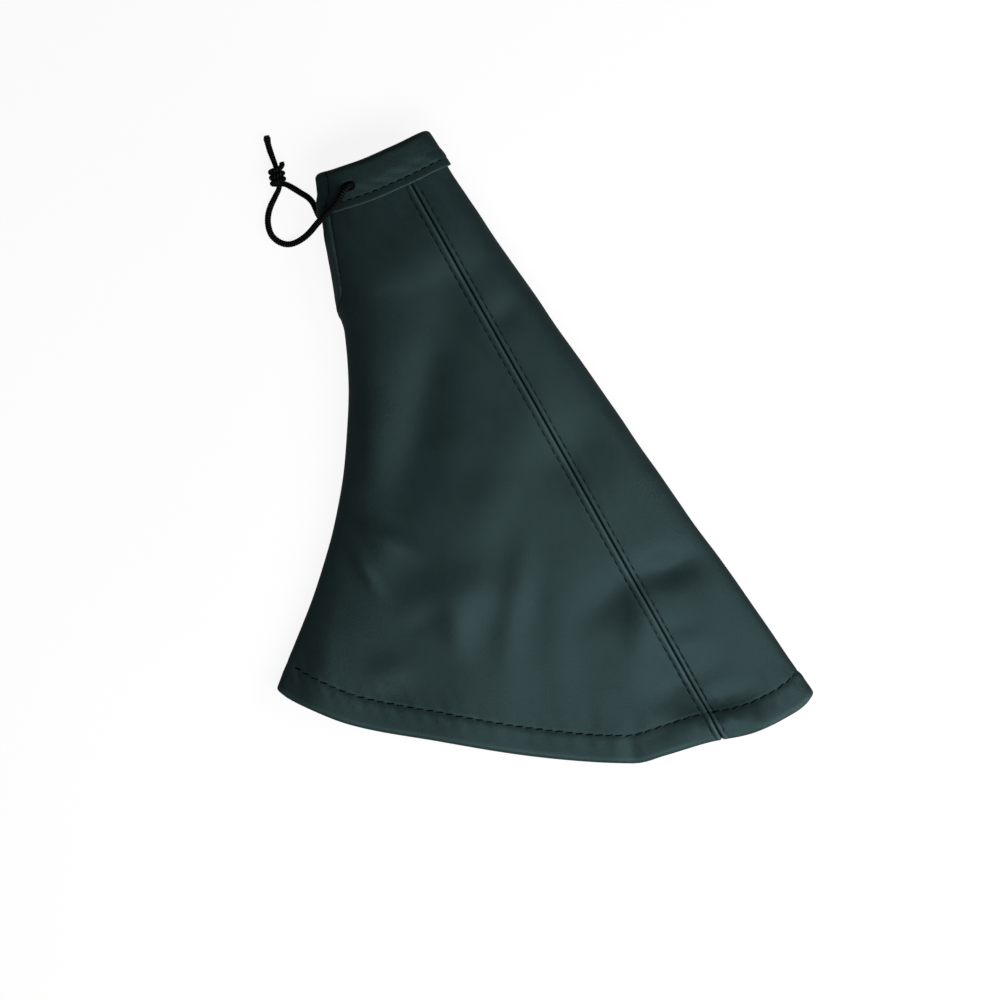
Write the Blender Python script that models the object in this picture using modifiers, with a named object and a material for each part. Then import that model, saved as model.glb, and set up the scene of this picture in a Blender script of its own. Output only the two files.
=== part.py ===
"""Handbrake gaiter of thin leatherette, lying on its side as it comes to rest on a table.

Three panels are sewn into a tapering sleeve: two wide side panels and a narrow centre panel folded along
the straight back edge. A strip folded over the narrow end is the casing of an elastic drawcord, and the wide
end is hemmed. Every panel is drawn on the sleeve's own middle surface, by arc length round the sleeve and by
distance from the collar's top edge, and is then given the thickness of the leatherette.

Metres. +X runs along the base line, +Y from the base towards the collar, +Z off the table.
"""

import math
from functools import lru_cache

import bmesh
import bpy
import numpy as np
from mathutils import Vector

for old in list(bpy.data.objects):
    bpy.data.objects.remove(old, do_unlink=True)

MM = 0.001

# Leatherette
SHEET = 1.1 * MM
EASE = 0.3 * MM

# Outline of the sleeve as it lies flat
BASE_WIDTH = 214.8 * MM
BACK_LENGTH = 272.5 * MM
BACK_LEAN = math.radians(55.6)
COLLAR_WIDTH = 49.7 * MM
COLLAR_TILT = math.radians(21.5)
FRONT_HOLLOW = 20.4 * MM
FRONT_KINK = 2.2 * MM
FRONT_HEEL = 0.7 * MM
BACK_HOLLOW = 3.35 * MM
# How far the hem hangs below the base line, by the share of the base's width from the front corner
HEM_SHARE = (0.0, 0.02, 0.067, 0.134, 0.30, 0.469, 0.60, 0.668, 0.72, 0.80, 0.89, 0.945, 0.985, 1.0)
HEM_DROP = tuple(
    drop * MM for drop in (-1.2, 1.9, 6.9, 12.4, 19.1, 24.9, 27.5, 27.8, 24.8, 19.7, 15.6, 9.9, 4.1, 0.0)
)

# Fullness of the sleeve between the table and its upper wall
COLLAR_FULLNESS = 14.0 * MM
BODY_FULLNESS = 21.8 * MM
BASE_FULLNESS = 17.5 * MM
BODY_ZONE = (8.0 * MM, 55.0 * MM)
BASE_ZONE = 120.0 * MM
COLLAR_ROUNDNESS = 0.88
BODY_ROUNDNESS = 0.68
ROUNDNESS_ZONE = (20.0 * MM, 65.0 * MM)
LIFT_RUN = 48.0 * MM
CALM_ZONE = (25.0 * MM, 60.0 * MM)
FOLD_RISE = 6.0 * MM
FOLD_RUN = 9.0 * MM
# Soft forms that handling has left in the upper wall, in plan: the middle, half the length, half the width,
# the heading in degrees and the height, hollows below nothing. Millimetres
SOFT_FORMS = (
    (-49.5, 12.0, 34.0, 11.0, 80, -2.1), (-71.0, 16.0, 30.0, 7.0, 86, 0.6), (50.2, -46.5, 15.0, 5.5, 15, -1.8),
    (54.0, -95.0, 15.0, 10.0, 30, -2.2), (70.0, -101.0, 13.0, 5.0, 12, -1.2), (72.0, -110.0, 12.0, 4.5, 12, 1.0),
    (25.4, -61.0, 12.0, 8.0, 45, -1.4), (-35.8, -72.4, 10.0, 6.5, 90, 1.0), (-13.0, -63.2, 22.0, 5.5, 82, 0.9),
    (4.6, -81.2, 20.0, 6.5, 95, 0.6), (37.4, -75.2, 12.0, 6.0, 100, 1.1), (-65.4, -36.4, 12.0, 4.8, -32, 1.0),
    (-71.4, -50.0, 10.0, 3.6, -52, -1.3), (-34.6, -59.0, 18.0, 11.0, 8, 1.5), (-17.4, 52.8, 8.0, 6.0, 45, -0.6),
    (12.0, 0.0, 20.0, 12.0, 55, -0.9), (-22.0, -22.0, 24.0, 12.0, 70, 0.8), (-62.0, -90.0, 9.0, 7.0, 10, 0.8),
)

# Seams and hem
SEAM_AT_COLLAR = 16.0 * MM
SEAM_AT_BASE = 36.8 * MM
SEAM_ALLOWANCE = 6.0 * MM
CLOSING_SEAM_SHIFT = 8.0 * MM
CLOSING_TURN = (50.0 * MM, 78.0 * MM)
CLOSING_DRIFT = (90.0 * MM, 220.0 * MM)
FOLD_SPREAD = 0.9 * MM
HEM_DEPTH = 14.5 * MM
HEM_BEND = 0.95 * MM

# Collar band, the casing of the cord
BAND_HEIGHT = 16.2 * MM
BAND_STITCH = 13.0 * MM
BAND_JOIN = 5.5 * MM
BAND_EASE = 0.5 * MM
CASING_HALF = 2.4 * MM
CASING_PINCH = 0.7 * MM
TOP_FOLD = 1.8 * MM
PANEL_TUCK = 2.6 * MM

# Drawcord and its two punched holes
CORD = 2.6 * MM
HOLE = 3.8 * MM
HOLE_BELOW_TOP = 8.6 * MM
HOLE_FROM_FRONT = 13.4 * MM
HOLE_LEAN = 6.4 * MM
KNOT_SQUEEZE = 0.84
KNOT_PITCH = 2.3 * MM
KNOT_TURNS = 2.6

# What follows from the sizes above
LAYER = SHEET + EASE
ROLL = LAYER / 2
EDGE_IN = EASE / 2 + SHEET / 2 + ROLL
STITCHED_HALF = SHEET + BAND_EASE
COLLAR_LIFT = CASING_HALF + CORD + 2 * EASE
BASE_DROP = max(HEM_DROP)
BASE_Y = -(BACK_LENGTH * math.sin(BACK_LEAN) - BASE_DROP) / 2
BACK_CORNER = np.array([BASE_WIDTH / 2, BASE_Y])
FRONT_CORNER = np.array([-BASE_WIDTH / 2, BASE_Y])
COLLAR_BACK = BACK_CORNER + BACK_LENGTH * np.array([-math.cos(BACK_LEAN), math.sin(BACK_LEAN)])
COLLAR_FRONT = COLLAR_BACK - COLLAR_WIDTH * np.array([math.cos(COLLAR_TILT), math.sin(COLLAR_TILT)])
END_ZONE = 30.0 * MM


def smooth_step(x, start, end):
    t = np.clip((x - start) / (end - start), 0.0, 1.0)
    return t * t * (3 - 2 * t)


def bump(x, middle, width):
    return np.exp(-(((x - middle) / width) ** 2))


def hem_drop(share):
    """Drop of the hem below the base line, through the chosen points with no overshoot."""
    x, y = np.array(HEM_SHARE), np.array(HEM_DROP)
    slopes = np.diff(y) / np.diff(x)
    inner = np.where(slopes[:-1] * slopes[1:] > 0, (slopes[:-1] + slopes[1:]) / 2, 0.0)
    tangent = np.concatenate([[slopes[0]], inner, [slopes[-1]]])
    i = np.clip(np.searchsorted(x, share) - 1, 0, len(x) - 2)
    step = x[i + 1] - x[i]
    t = (share - x[i]) / step
    return (
        (1 + 2 * t) * (1 - t) ** 2 * y[i]
        + t * (1 - t) ** 2 * step * tangent[i]
        + t * t * (3 - 2 * t) * y[i + 1]
        + t * t * (t - 1) * step * tangent[i + 1]
    )


def plan(share, v):
    """Point of the outline in plan: share 0 on the front edge, 1 on the back edge, v below the top edge."""
    share = np.clip(np.asarray(share, float), 0.0, 1.0)[..., None]
    wave = 0.7 * MM * (1.6 * bump(share, 0.95, 0.16) + bump(share, 0.03, 0.08) - bump(share, 0.42, 0.20))
    top = COLLAR_FRONT + share * (COLLAR_BACK - COLLAR_FRONT) + wave * np.array([0.0, 1.0])
    base = FRONT_CORNER + share * (BACK_CORNER - FRONT_CORNER)
    base = base - hem_drop(share) * np.array([0.0, 1.0])
    length = np.linalg.norm(base - top, axis=-1, keepdims=True)
    early, late = END_ZONE / length, 1 - END_ZONE / length
    along = (v - END_ZONE) / (BACK_LENGTH - 2 * END_ZONE)
    t = np.where(
        v < END_ZONE,
        v / length,
        np.where(v > BACK_LENGTH - END_ZONE, 1 - (BACK_LENGTH - v) / length, early + (late - early) * along),
    )
    chord = COLLAR_FRONT - FRONT_CORNER
    inwards = np.array([chord[1], -chord[0]]) / np.linalg.norm(chord)
    kink = FRONT_KINK * smooth_step(t, 0.30, 0.24) * smooth_step(t, 0.0, 0.09)
    heel = FRONT_HEEL * smooth_step(t, 0.76, 0.97)
    hollow = FRONT_HOLLOW * np.sin(math.pi * np.clip(t, 0.0, 1.0)) - kink - heel
    spine = COLLAR_BACK - BACK_CORNER
    forwards = np.array([-spine[1], spine[0]]) / np.linalg.norm(spine)
    waist = BACK_HOLLOW * (0.3 + 0.7 * smooth_step(v, 5 * MM, 32 * MM)) * (1 - np.clip(v / BACK_LENGTH, 0.0, 1.0))
    return top + t * (base - top) + hollow * (1 - share) ** 1.3 * inwards + waist * share**1.5 * forwards


def lift(v):
    """Height of the underside of the sleeve over where it would lie without its band and cord."""
    return COLLAR_LIFT * (1 - smooth_step(v, BAND_STITCH, BAND_STITCH + LIFT_RUN))


def fullness(v):
    """Distance between the sleeve's lower and upper walls along its middle."""
    to_body = smooth_step(v, *BODY_ZONE)
    to_base = smooth_step(v, BASE_ZONE, BACK_LENGTH)
    body = COLLAR_FULLNESS + (BODY_FULLNESS - COLLAR_FULLNESS) * to_body
    return body + (BASE_FULLNESS - BODY_FULLNESS) * to_base


def roundness(v):
    """How the upper wall rises from its folds: near 1 it is an ellipse, lower it is flatter on top."""
    return COLLAR_ROUNDNESS + (BODY_ROUNDNESS - COLLAR_ROUNDNESS) * smooth_step(v, *ROUNDNESS_ZONE)


def ripple(share, v):
    """Soft waves of the upper wall, flat at its folds and at the collar."""
    t = v / BACK_LENGTH
    place = plan(share, v) / MM
    soft = 0.0
    for x, y, half_length, half_width, heading, height in SOFT_FORMS:
        turn = math.radians(heading)
        ahead = (place[..., 0] - x) * math.cos(turn) + (place[..., 1] - y) * math.sin(turn)
        aside = (place[..., 1] - y) * math.cos(turn) - (place[..., 0] - x) * math.sin(turn)
        soft = soft + height * MM * bump(ahead, 0.0, half_length) * bump(aside, 0.0, half_width)
    hem_break = 1.2 * MM * bump(share, 0.67, 0.025) * smooth_step(t, 0.88, 1.0)
    hem_wave = 0.8 * MM * np.sin(19 * share + 0.8) * smooth_step(t, 0.8, 1.0)
    calm = np.clip(12 * share * (1 - share), 0, 1) * smooth_step(v, *CALM_ZONE)
    return calm * (soft - hem_break + hem_wave)


def band_half(v, from_join=1.0):
    """Half the distance between the band's two layers, v below the top edge."""
    v = max(v, 0.0)
    round_top = math.sqrt(max(0.0, 1 - max(0.0, 1 - v / TOP_FOLD) ** 2))
    casing = CASING_HALF - CASING_PINCH * float(bump(from_join, 0.0, 3.0 * MM))
    closing = float(smooth_step(v, 9.6 * MM, 12.4 * MM))
    return (casing + (STITCHED_HALF - casing) * closing) * round_top


@lru_cache(maxsize=None)
def section(v):
    """The sleeve's middle surface at station v: points from the back fold over the top and back underneath,
    the arc length to each, and the number of the point on the front fold."""
    proud = STITCHED_HALF - 0.7 * MM
    drawn_in = proud + (CASING_HALF - proud) * (1 - smooth_step(v, 8 * MM, BAND_STITCH))
    inset = SHEET / 2 + drawn_in * (1 - smooth_step(v, BAND_HEIGHT, BAND_HEIGHT + 14 * MM))
    width = np.linalg.norm(plan(1.0, v) - plan(0.0, v))
    floor = SHEET / 2 + lift(v)
    rise = fullness(v)

    turn = np.linspace(0.0, math.pi, 141)
    across = (1 + np.cos(turn)) / 2
    upper_share = (inset + (width - 2 * inset) * across) / width
    upper = floor + FOLD_RISE + (rise - FOLD_RISE) * np.sin(turn) ** roundness(v) + ripple(upper_share, v)

    quarter = np.linspace(0.0, math.pi / 2, 19)[1:]
    run = FOLD_RUN * (1 - np.cos(quarter))
    drop = floor + FOLD_RISE * (1 - np.sin(quarter))
    middle = np.linspace(FOLD_RUN, width - 2 * inset - FOLD_RUN, 40)[1:-1]
    reach = np.concatenate([run, middle, (width - 2 * inset) - run[::-1], [width - 2 * inset]])
    lower = np.concatenate([drop, np.full(len(middle), floor), drop[::-1], [floor + FOLD_RISE]])
    share = np.concatenate([upper_share, (inset + reach) / width])
    points = np.column_stack([plan(share, v), np.concatenate([upper, lower])])
    arc = np.concatenate([[0.0], np.cumsum(np.linalg.norm(np.diff(points, axis=0), axis=1))])
    return points, arc, len(turn) - 1


def front_fold(v):
    _, arc, front = section(v)
    return arc[front]


def girth(v):
    return section(v)[1][-1]


def seam_arcs(v):
    """Arc lengths at which the straight long seam crosses station v, above and below."""
    start = plan(1 - SEAM_AT_COLLAR / COLLAR_WIDTH, 0.0)
    end = plan(1 - SEAM_AT_BASE / BASE_WIDTH, BACK_LENGTH)
    along = (end - start) / np.linalg.norm(end - start)
    points, arc, front = section(v)
    side = (points[:, 0] - start[0]) * along[1] - (points[:, 1] - start[1]) * along[0]
    above = np.interp(0.0, side[: front + 1], arc[: front + 1])
    below = np.interp(0.0, -side[front:], arc[front:])
    return above, below


def closing_arc(v):
    """The closing seam: on the front fold by the collar, wrapped to the underside further down."""
    shift = 0.75 * smooth_step(v, *CLOSING_TURN) + 0.25 * smooth_step(v, *CLOSING_DRIFT)
    return front_fold(v) + CLOSING_SEAM_SHIFT * float(shift)


def on_surface(a, v):
    points, arc, _ = section(round(v, 9))
    a = a % arc[-1]
    return np.array([np.interp(a, arc, points[:, k]) for k in range(3)])


def inwards(a, v):
    """Unit normal of the sleeve's middle surface, pointing into the sleeve."""
    step = 0.3 * MM
    across = on_surface(a + step, v) - on_surface(a - step, v)
    down = on_surface(a, v + step) - on_surface(a, v - step)
    normal = np.cross(down, across)
    return normal / np.linalg.norm(normal)


def on_sleeve(a, v, depth=0.0):
    """The point at arc a and station v, moved into the sleeve by depth."""
    point = on_surface(a, v)
    if abs(depth) > 1e-7:
        point = point + depth * inwards(a, v)
    return Vector(point)


def collection(name):
    made = bpy.data.collections.new(name)
    bpy.context.scene.collection.children.link(made)
    return made


GAITER = collection("handbrake_gaiter")
CUTTERS = collection("cutters")


def material(name, colour, roughness, metallic=0.0):
    made = bpy.data.materials.new(name)
    made.use_nodes = True
    shader = made.node_tree.nodes["Principled BSDF"]
    shader.inputs["Base Color"].default_value = (*colour, 1.0)
    shader.inputs["Roughness"].default_value = roughness
    shader.inputs["Metallic"].default_value = metallic
    return made


def grid_object(name, points, keep, paint):
    """A sheet from a grid of points, with only the cells that keep names, thickened about its middle."""
    mesh = bmesh.new()
    made = {}

    def corner(r, c):
        if (r, c) not in made:
            made[r, c] = mesh.verts.new(points[r][c])
        return made[r, c]

    for r in range(len(points) - 1):
        for c in range(len(points[r]) - 1):
            if keep(r, c):
                corners = ((r, c), (r, c + 1), (r + 1, c + 1), (r + 1, c))
                mesh.faces.new([corner(*at) for at in corners])
    data = bpy.data.meshes.new(name)
    mesh.to_mesh(data)
    mesh.free()
    data.shade_smooth()
    data.materials.append(paint)
    sheet = bpy.data.objects.new(name, data)
    GAITER.objects.link(sheet)
    thicken = sheet.modifiers.new("thickness", "SOLIDIFY")
    thicken.thickness = SHEET
    thicken.offset = 0.0
    thicken.use_even_offset = True
    return sheet


# Panels
TURN_STEPS = 4
TUCKED, SEWN, HEMMED = "tucked", "sewn", "hemmed"


def edge_columns(kind, seam, side, spread):
    """Arc and depth of the columns from the last flat one to the end of the seam allowance. The edge rolls
    inwards and back; side is -1 where the panel lies on the lower side of its seam, else 1. Where the seam
    runs along a fold, spread keeps the two allowances apart inside the bend."""
    flat = seam + side * EDGE_IN
    columns = []
    for k in range(1, TURN_STEPS + 1):
        angle = math.pi * k / TURN_STEPS
        if kind == TUCKED:
            columns.append((flat - side * (EDGE_IN - EASE / 2) * min(1.0, 2 * k / TURN_STEPS), 0.0))
        else:
            depth = ROLL * (1 - math.cos(angle))
            columns.append((flat - side * (ROLL * math.sin(angle) - spread * depth / LAYER), depth))
    columns.append((flat + side * (SEAM_ALLOWANCE - ROLL + spread), 2 * ROLL))
    return columns


def panel_rows():
    """Stations of the rows, each with how its edges are finished, its turn round the hem and its way back."""
    edge = BACK_LENGTH - SHEET / 2
    hem_top = edge - HEM_DEPTH
    rows = [(BAND_STITCH - PANEL_TUCK, TUCKED, 0, 0), (BAND_STITCH, TUCKED, 0, 0), (BAND_HEIGHT, TUCKED, 0, 0)]
    first, last = BAND_HEIGHT + 3.5 * MM, hem_top - 2.5 * MM
    count = 19
    for k in range(count + 1):
        share = k / count
        rows.append((first + (last - first) * (share - 0.09 * math.sin(math.pi * share)), SEWN, 0, 0))
    for above in (9.5 * MM, 4.5 * MM):
        rows.append((edge - above, HEMMED, 0, 0))
    for k in range(TURN_STEPS + 1):
        rows.append((edge - HEM_BEND, HEMMED, math.pi * k / TURN_STEPS, 0))
    for back in (4.5 * MM, 9.0 * MM, HEM_DEPTH - HEM_BEND):
        rows.append((edge - HEM_BEND, HEMMED, math.pi, back))
    return rows


def spread_arcs(stops, counts):
    """Arc lengths from the first stop to the last, with counts[i] even steps between stops i and i + 1."""
    values = [stops[0]]
    for start, end, count in zip(stops, stops[1:], counts):
        values += [start + (end - start) * (k + 1) / count for k in range(count)]
    return values


def panel(name, edges, stops, counts, spreads, paint):
    """One cut piece between two seams: edges(v) gives their arcs, stops(v) where its columns crowd, and
    spreads how far each seam's allowance keeps from its neighbour's inside a fold."""

    def columns(v, kind):
        start, end = edges(v)
        flat = spread_arcs([start + EDGE_IN, *stops(v), end - EDGE_IN], counts)
        first, last = edge_columns(kind, start, 1, spreads[0]), edge_columns(kind, end, -1, spreads[1])
        return first[::-1] + [(a, 0.0) for a in flat] + last

    rows = panel_rows()
    points = []
    for v, kind, turn, back in rows:
        row = []
        for c, (a, depth) in enumerate(columns(v, kind)):
            if turn:
                radius = HEM_BEND - depth
                level = v + radius * math.sin(turn) - back
                row.append(on_sleeve(columns(level, kind)[c][0], level, HEM_BEND - radius * math.cos(turn)))
            else:
                row.append(on_sleeve(a, v, depth))
        points.append(row)
    wide = len(points[0]) - 1
    lips = TURN_STEPS // 2 + 1

    def keep(r, c):
        sewn = rows[r][1] == SEWN and rows[r + 1][1] == SEWN
        return sewn or lips <= c < wide - lips

    return grid_object(name, points, keep, paint)


def side_panel_left(paint):
    def edges(v):
        return seam_arcs(v)[0], closing_arc(v)

    def stops(v):
        return [front_fold(v) - 9 * MM]

    return panel("side_panel_left", edges, stops, (8, 5), (0.0, FOLD_SPREAD), paint)


def side_panel_right(paint):
    def edges(v):
        return closing_arc(v), seam_arcs(v)[1]

    def stops(v):
        return [front_fold(v) + 13 * MM]

    return panel("side_panel_right", edges, stops, (5, 6), (FOLD_SPREAD, 0.0), paint)


def centre_panel(paint):
    def edges(v):
        above, below = seam_arcs(v)
        return below - girth(v), above

    def stops(v):
        return [-12.5 * MM, 9 * MM]

    return panel("centre_panel", edges, stops, (2, 8, 3), (0.0, 0.0), paint)


# Collar band
BAND_ROWS = (16.2, 13.0, 10.6, 8.4, 5.0, 1.8, 0.6, 0.12)
BAND_COLUMNS = 42


def band_path():
    """Stations down the band, with the layer each lies on: -1 outside, 0 at the top fold, 1 inside."""
    stations = [v * MM for v in BAND_ROWS]
    stations[0], stations[1] = BAND_HEIGHT, BAND_STITCH
    outside = [(v, -1) for v in stations]
    inside = [(v, 1) for v in stations[:0:-1]] + [(BAND_HEIGHT - 1.2 * MM, 1)]
    return outside + [(0.0, 0)] + inside


def collar_band(paint):
    points = []
    for v, layer in band_path():
        level = v + SHEET / 2
        row = []
        start, whole = front_fold(level) - BAND_JOIN, girth(level)
        for k in range(BAND_COLUMNS + 1):
            way = EASE / 2 + (whole - EASE) * k / BAND_COLUMNS
            half = band_half(v, min(way, whole - way))
            row.append(on_sleeve(start + way, level, layer * half))
        points.append(row)
    band = grid_object("collar_band", points, lambda r, c: True, paint)
    for name, above in (("hole_above", True), ("hole_below", False)):
        cut = band.modifiers.new(name, "BOOLEAN")
        cut.operation = "DIFFERENCE"
        cut.solver = "EXACT"
        cut.object = hole_cutter(name, above)
    return band


def hole_place(above):
    """Arc of a punched hole's middle: the two holes face each other, one in each wall of the collar."""
    way = HOLE_FROM_FRONT if above else -HOLE_FROM_FRONT
    return front_fold(HOLE_BELOW_TOP) - way


def hole_axis(above):
    """Ends of the cord's way from the middle of the casing to clear outside, leaning towards the front."""
    middle = hole_place(above)
    ahead = (1 if above else -1) * HOLE_LEAN / 2
    drop = HOLE_LEAN / 8
    inner = on_sleeve(middle - ahead, HOLE_BELOW_TOP - drop)
    outer = on_sleeve(middle + ahead, HOLE_BELOW_TOP + drop, -2 * CASING_HALF - EASE)
    return inner, outer


def hole_cutter(name, above):
    inner, outer = hole_axis(above)
    mesh = bmesh.new()
    bmesh.ops.create_cone(
        mesh, cap_ends=True, segments=16, radius1=HOLE / 2, radius2=HOLE / 2, depth=(outer - inner).length
    )
    data = bpy.data.meshes.new(name)
    mesh.to_mesh(data)
    mesh.free()
    cutter = bpy.data.objects.new(name, data)
    cutter.location = (inner + outer) / 2
    cutter.rotation_mode = "QUATERNION"
    cutter.rotation_quaternion = (outer - inner).to_track_quat("Z", "Y")
    cutter.hide_render = True
    cutter.display_type = "WIRE"
    CUTTERS.objects.link(cutter)
    return cutter


# Drawcord. It rests on the table from the knot to the collar, and the loop beside the collar is free.
# Millimetres, from the knot along the table to the hole below
STRAND_FROM_KNOT = (
    (-104.7, 105.4, 1.2), (-101.7, 103.9, 1.4), (-98.3, 101.8, 1.4), (-95.6, 100.1, 1.4), (-93.6, 97.9, 1.4),
    (-92.3, 95.2, 1.4), (-91.2, 92.8, 1.4), (-89.4, 91.3, 1.4), (-87.4, 91.9, 1.4), (-86.1, 94.4, 1.4),
    (-85.4, 97.8, 1.35), (-83.2, 101.7, 1.45),
)
# Inside the casing, from the hole below round the back fold to the hole above
STRAND_IN_CASING = (
    (-79.9, 103.4, 3.1), (-74.8, 105.9, 6.1), (-58.2, 113.1, 6.1), (-51.9, 116.0, 6.2), (-48.3, 118.0, 7.8),
    (-46.5, 118.8, 9.8), (-45.9, 119.1, 12.1), (-46.6, 118.7, 14.6), (-50.0, 117.1, 17.3),
    (-56.7, 113.8, 19.3), (-71.4, 107.6, 19.9), (-75.8, 105.6, 19.6),
)
# From the hole above over the collar's corner, round the free loop and up to the knot
STRAND_TO_KNOT = (
    (-79.4, 103.8, 22.0), (-81.4, 101.3, 23.5), (-82.9, 98.5, 22.7), (-85.1, 95.6, 21.6), (-87.1, 93.7, 20.7),
    (-89.8, 91.1, 18.5), (-92.0, 88.9, 14.1), (-94.4, 86.3, 8.0), (-97.3, 83.8, 3.7), (-100.7, 81.9, 1.7),
    (-104.0, 81.3, 1.4), (-107.4, 82.4, 1.4), (-110.1, 84.9, 1.4), (-111.4, 88.4, 1.4), (-111.6, 92.3, 1.4),
    (-110.6, 96.4, 1.4), (-108.6, 100.6, 1.8),
)
# Out of the knot to the fused end
TAIL = ((-109.7, 115.8, 2.9), (-110.8, 118.8, 1.8), (-111.6, 121.6, 1.5), (-112.0, 123.7, 1.65), (-112.2, 124.9, 1.6))
KNOT_FOOT = (-107.1, 103.9)
KNOT_HEAD = (-108.6, 112.8)
# The cut end beside the knot's head: to the side of the knot's core, over it, and along it
STUB = ((2.6, 0.3, 9.9), (2.7, 0.5, 8.8))
KNOT_STEP = math.radians(36)
CORD_STEP = 6.5 * MM
FUSED_END = 1.2


def metres(points):
    return [Vector(point) * MM for point in points]


def knot_strands():
    """The stub with the turns that it makes round the core, and the core itself, from foot to head."""
    narrow = CORD * KNOT_SQUEEZE
    radius = narrow + 0.17 * MM
    height = radius + narrow / 2 + 0.05 * MM
    foot, head = (Vector((x * MM, y * MM, height)) for x, y in (KNOT_FOOT, KNOT_HEAD))
    along = (head - foot).normalized()
    side, over = Vector((along.y, -along.x, 0.0)), Vector((0.0, 0.0, 1.0))

    def at(sideways, above, forward):
        return foot + side * sideways + over * above + along * forward

    turns = [at(*(Vector(point) * MM)) for point in STUB]
    steps = round(KNOT_TURNS * 2 * math.pi / KNOT_STEP)
    for k in range(steps + 1):
        left = steps - k
        angle = -math.pi / 2 - left * KNOT_STEP
        forward = 1.5 * MM + left * KNOT_PITCH * KNOT_STEP / (2 * math.pi)
        turns.append(at(radius * math.cos(angle), radius * math.sin(angle), forward))
    core = [at(0.0, 0.1 * MM, forward) for forward in (0.0, 2.5 * MM, 6.0 * MM, (head - foot).length)]
    return turns, core


def smooth_route(points, thickness):
    """Points along a smooth curve through the route's own points, with the cord's thickness at each."""
    knots = [0.0]
    for p, q in zip(points, points[1:]):
        knots.append(knots[-1] + (q - p).length)
    last = len(points) - 1
    tangents = []
    for i in range(len(points)):
        before, after = max(i - 1, 0), min(i + 1, last)
        tangents.append((points[after] - points[before]) / (knots[after] - knots[before]))
    route = [(points[0], thickness[0])]
    for i in range(last):
        span = knots[i + 1] - knots[i]
        steps = max(1, round(span / CORD_STEP))
        for k in range(1, steps + 1):
            t = k / steps
            point = (
                points[i] * ((1 + 2 * t) * (1 - t) ** 2)
                + tangents[i] * (span * t * (1 - t) ** 2)
                + points[i + 1] * (t * t * (3 - 2 * t))
                + tangents[i + 1] * (span * t * t * (t - 1))
            )
            route.append((point, thickness[i] + (thickness[i + 1] - thickness[i]) * t))
    return route


def drawcord(paint):
    turns, core = knot_strands()
    free = metres(STRAND_FROM_KNOT + STRAND_IN_CASING + STRAND_TO_KNOT)
    tail = metres(TAIL)
    points = turns + free + core + tail
    thickness = [KNOT_SQUEEZE] * len(turns) + [0.9] + [1.0] * (len(free) - 2) + [0.92]
    thickness += [KNOT_SQUEEZE] * len(core) + [0.92, 1.0, 1.0, FUSED_END, 0.8]
    route = smooth_route(points, thickness)
    curve = bpy.data.curves.new("drawcord", "CURVE")
    curve.dimensions = "3D"
    curve.bevel_depth = CORD / 2
    curve.bevel_resolution = 2
    curve.use_fill_caps = True
    spline = curve.splines.new("POLY")
    spline.points.add(len(route) - 1)
    for point, (place, thick) in zip(spline.points, route):
        point.co = (*place, 1.0)
        point.radius = thick
    curve.materials.append(paint)
    cord = bpy.data.objects.new("drawcord", curve)
    GAITER.objects.link(cord)
    return cord


def build():
    leatherette = material("leatherette", (0.021, 0.034, 0.036), 0.5)
    leatherette_under = material("leatherette_right", (0.021, 0.034, 0.036), 0.5)
    leatherette_centre = material("leatherette_centre", (0.023, 0.037, 0.039), 0.5)
    leatherette_band = material("leatherette_band", (0.018, 0.030, 0.032), 0.5)
    elastic = material("braided_elastic", (0.006, 0.007, 0.007), 0.8)
    side_panel_left(leatherette)
    side_panel_right(leatherette_under)
    centre_panel(leatherette_centre)
    collar_band(leatherette_band)
    drawcord(elastic)


build()
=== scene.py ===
"""Looks of the handbrake gaiter: sewn leatherette panels, the collar's casing, the thread and the cord.

Each soft piece is drawn on the sleeve that part.py describes, with the same sizes in metres, at the
resolution that wrinkles, ridges and puckers need. It replaces its CAD solid and stays in its place.
"""

import math
from functools import lru_cache

import bmesh
import bpy
import numpy as np
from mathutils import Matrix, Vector, noise


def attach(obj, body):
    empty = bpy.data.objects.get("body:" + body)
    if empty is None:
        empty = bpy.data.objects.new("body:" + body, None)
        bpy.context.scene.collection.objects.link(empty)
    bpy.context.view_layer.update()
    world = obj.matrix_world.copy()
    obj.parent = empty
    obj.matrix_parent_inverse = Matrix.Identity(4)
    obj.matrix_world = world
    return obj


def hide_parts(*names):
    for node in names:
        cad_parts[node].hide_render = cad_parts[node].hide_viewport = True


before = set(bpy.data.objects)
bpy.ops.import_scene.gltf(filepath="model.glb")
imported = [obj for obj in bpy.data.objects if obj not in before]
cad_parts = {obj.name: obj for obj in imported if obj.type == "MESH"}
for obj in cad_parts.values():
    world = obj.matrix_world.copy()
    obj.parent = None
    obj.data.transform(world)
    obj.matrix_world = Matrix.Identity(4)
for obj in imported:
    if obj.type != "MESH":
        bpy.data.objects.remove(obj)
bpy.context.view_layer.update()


# The wide left side panel, which faces up: leatherette 1.1 mm thick, a satin skin on knitted cloth. It is
# sewn to the centre panel and to the right side panel, its allowances turned in, its wide end hemmed.
# The sizes below are those of the sleeve that the sewn panels form, laid flat on its side.

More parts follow.
